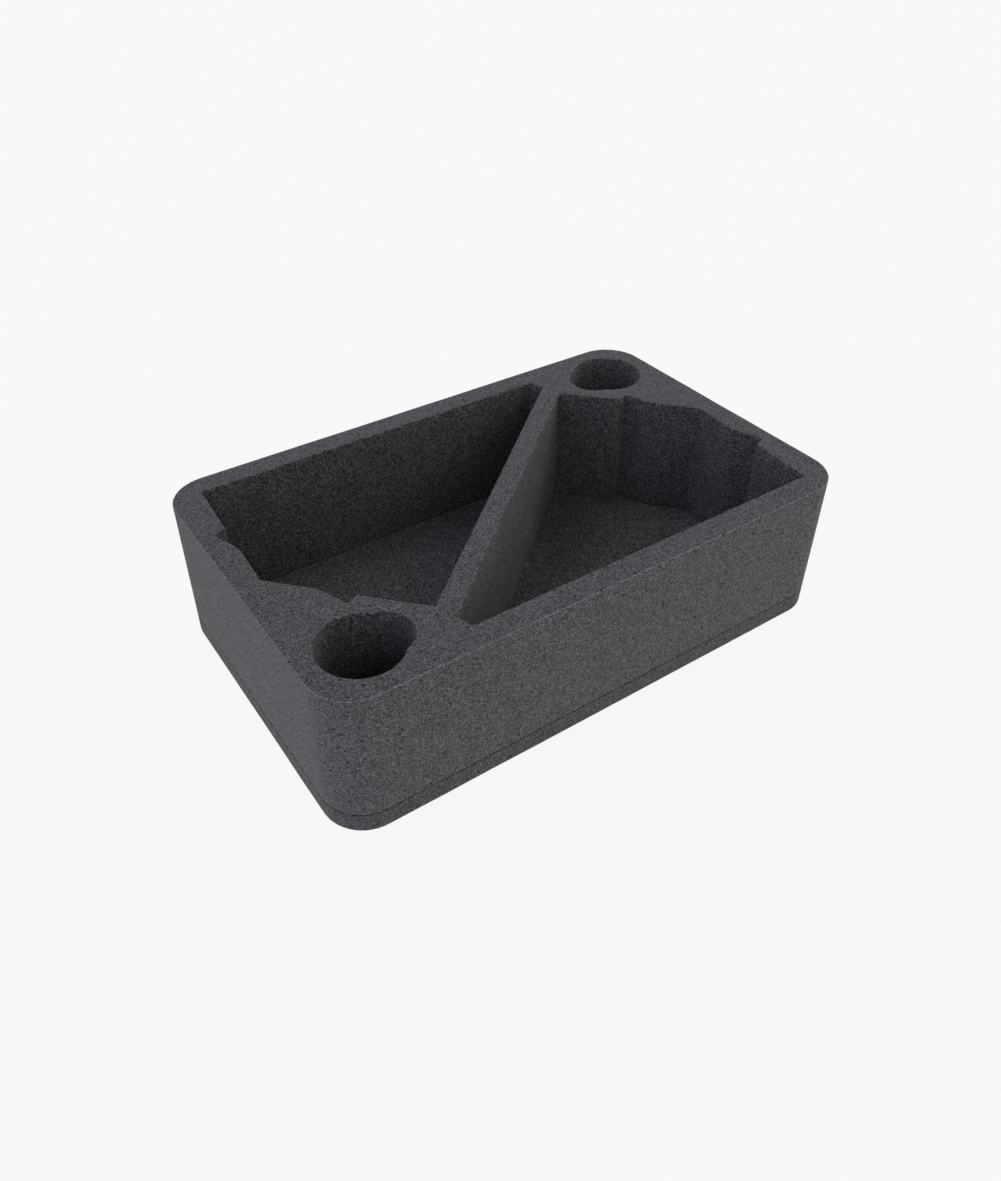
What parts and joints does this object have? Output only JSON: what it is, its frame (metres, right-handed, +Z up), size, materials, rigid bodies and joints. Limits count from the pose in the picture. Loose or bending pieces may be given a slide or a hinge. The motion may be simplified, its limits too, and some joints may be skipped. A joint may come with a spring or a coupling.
{
  "type": "foam storage tray",
  "caption": "Foam tray with pointed pockets either side of a slanting wall and round pockets in opposite corners, on a plain foam bottom sheet, for carrying small delicate pieces.",
  "frame": {"origin": "centre of the tray's underside, on the surface that it stands on", "axes": "+X along the long side, +Y along the short side, +Z up out of the pockets; the pointed pocket with its point towards +X lies on the +Y side"},
  "size_m": [0.275, 0.1724, 0.075],
  "materials": {
    "block_foam": "matt fine-pored charcoal grey foam, knife or water-jet cut",
    "base_foam": "matt fine-pored charcoal grey foam sheet",
    "dried_glue": "thin dark line of dried contact adhesive"
  },
  "bodies": {
    "root": {"foam_block": "block_foam", "base_sheet": "base_foam", "glue_layer": "dried_glue"}
  },
  "joints": []
}
